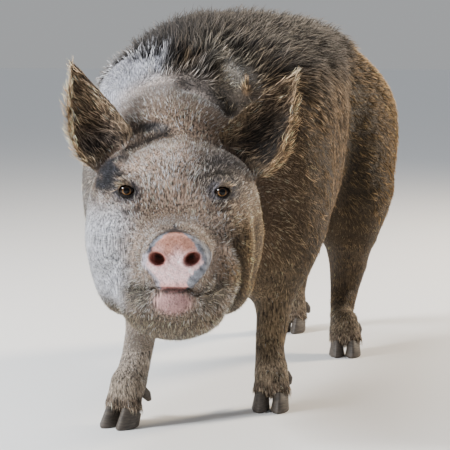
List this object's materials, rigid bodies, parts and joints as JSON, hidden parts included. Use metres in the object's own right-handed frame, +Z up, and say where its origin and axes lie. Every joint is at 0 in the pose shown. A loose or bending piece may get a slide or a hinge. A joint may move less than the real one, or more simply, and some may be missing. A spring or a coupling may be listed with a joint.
{
  "type": "pig",
  "caption": "Life-size still model of an adult grey-brown small-breed pig, standing in mid-stride with its head turned a little to its left.",
  "frame": {"origin": "on the floor, under the middle of the pig's box", "axes": "+Z up, -Y the way the trunk faces, +X the pig's left side"},
  "size_m": [0.409, 1.237, 0.64],
  "materials": {
    "hide": "matt grey-brown skin under coarse bristles",
    "snout": "bare moist pink skin with slate-grey sides",
    "eye": "wet amber-brown eye with a dark pupil",
    "claw": "dull dark grey-brown horn"
  },
  "bodies": {
    "root": {"head": "hide", "lower_jaw": "hide", "snout": "snout", "left_ear": "hide", "right_ear": "hide", "left_eye": "eye", "right_eye": "eye", "neck": "hide", "trunk": "hide", "tail": "hide", "left_foreleg": "hide", "right_foreleg": "hide", "left_hindleg": "hide", "right_hindleg": "hide", "left_fore_claw_inner": "claw", "left_fore_claw_outer": "claw", "left_fore_dewclaw_inner": "claw", "left_fore_dewclaw_outer": "claw", "right_fore_claw_inner": "claw", "right_fore_claw_outer": "claw", "right_fore_dewclaw_inner": "claw", "right_fore_dewclaw_outer": "claw", "left_hind_claw_inner": "claw", "left_hind_claw_outer": "claw", "left_hind_dewclaw_inner": "claw", "left_hind_dewclaw_outer": "claw", "right_hind_claw_inner": "claw", "right_hind_claw_outer": "claw", "right_hind_dewclaw_inner": "claw", "right_hind_dewclaw_outer": "claw"}
  },
  "joints": []
}
